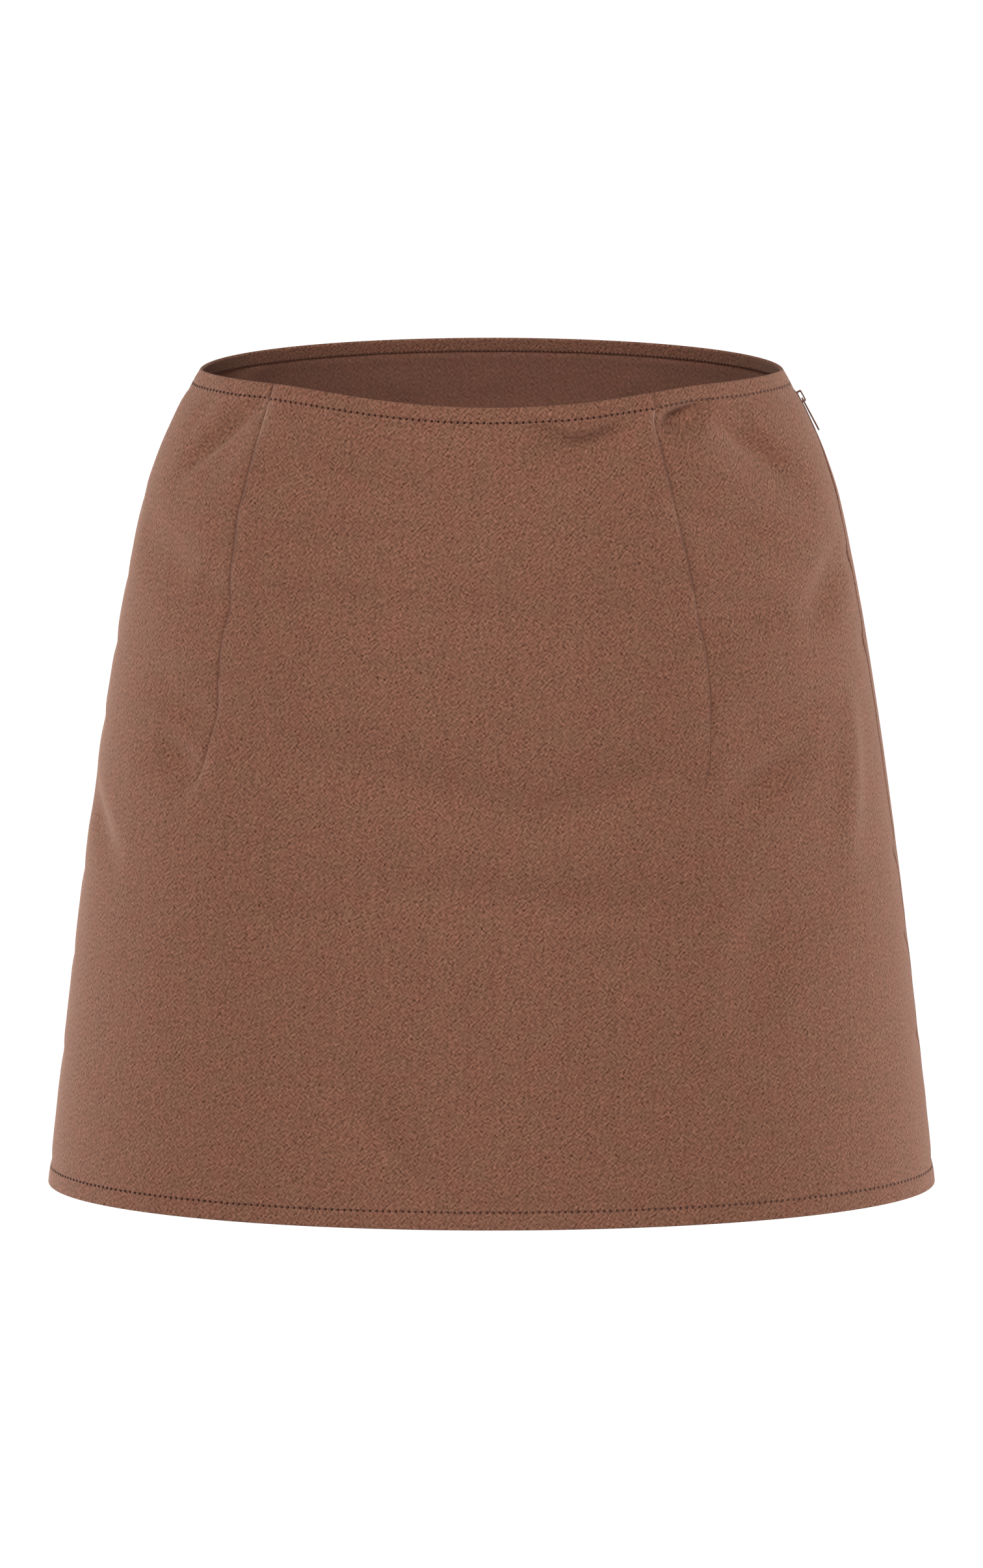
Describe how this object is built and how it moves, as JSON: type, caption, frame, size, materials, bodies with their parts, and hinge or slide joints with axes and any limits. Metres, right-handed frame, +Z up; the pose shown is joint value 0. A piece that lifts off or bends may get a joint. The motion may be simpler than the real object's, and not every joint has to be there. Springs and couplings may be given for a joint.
{
  "type": "micro mini skirt",
  "caption": "Flared micro mini skirt of brown twill, held open as worn: darted front, plain back, turned and topstitched waist and hem, concealed zip in the wearer's left seam.",
  "frame": {"origin": "centre of the waist opening, level with the waist edge at the side seams, where the wearer holds the skirt up", "axes": "+Z up through the waist, -Y out of the front, +X to the wearer's left, the side with the zip"},
  "size_m": [0.3737, 0.2398, 0.3482],
  "materials": {
    "cloth_face": "matt melange twill, warm mid brown",
    "cloth_reverse": "matt wrong side of the same twill, a little darker",
    "zip_tape": "woven polyester tape dyed to match",
    "zip_coil": "nylon coil dyed to match",
    "zip_metal": "zinc lacquered to match the cloth"
  },
  "bodies": {
    "skirt": {"front_panel": "cloth_face", "back_panel": "cloth_face", "front_waist_turning": "cloth_reverse", "back_waist_turning": "cloth_reverse", "front_hem_turning": "cloth_reverse", "back_hem_turning": "cloth_reverse", "zip_tape_front": "zip_tape", "zip_tape_back": "zip_tape", "zip_coil": "zip_coil", "zip_slider": "zip_metal", "zip_bottom_stop": "zip_metal"},
    "pull_tab": {"zip_pull": "zip_metal"}
  },
  "joints": [
    {"name": "pull_tab_hinge", "type": "hinge", "parent": "skirt", "child": "pull_tab", "pos_m": [0.12999, -0.00046, -0.01264], "axis": [0, -1, 0], "range_deg": [0, 130]}
  ]
}
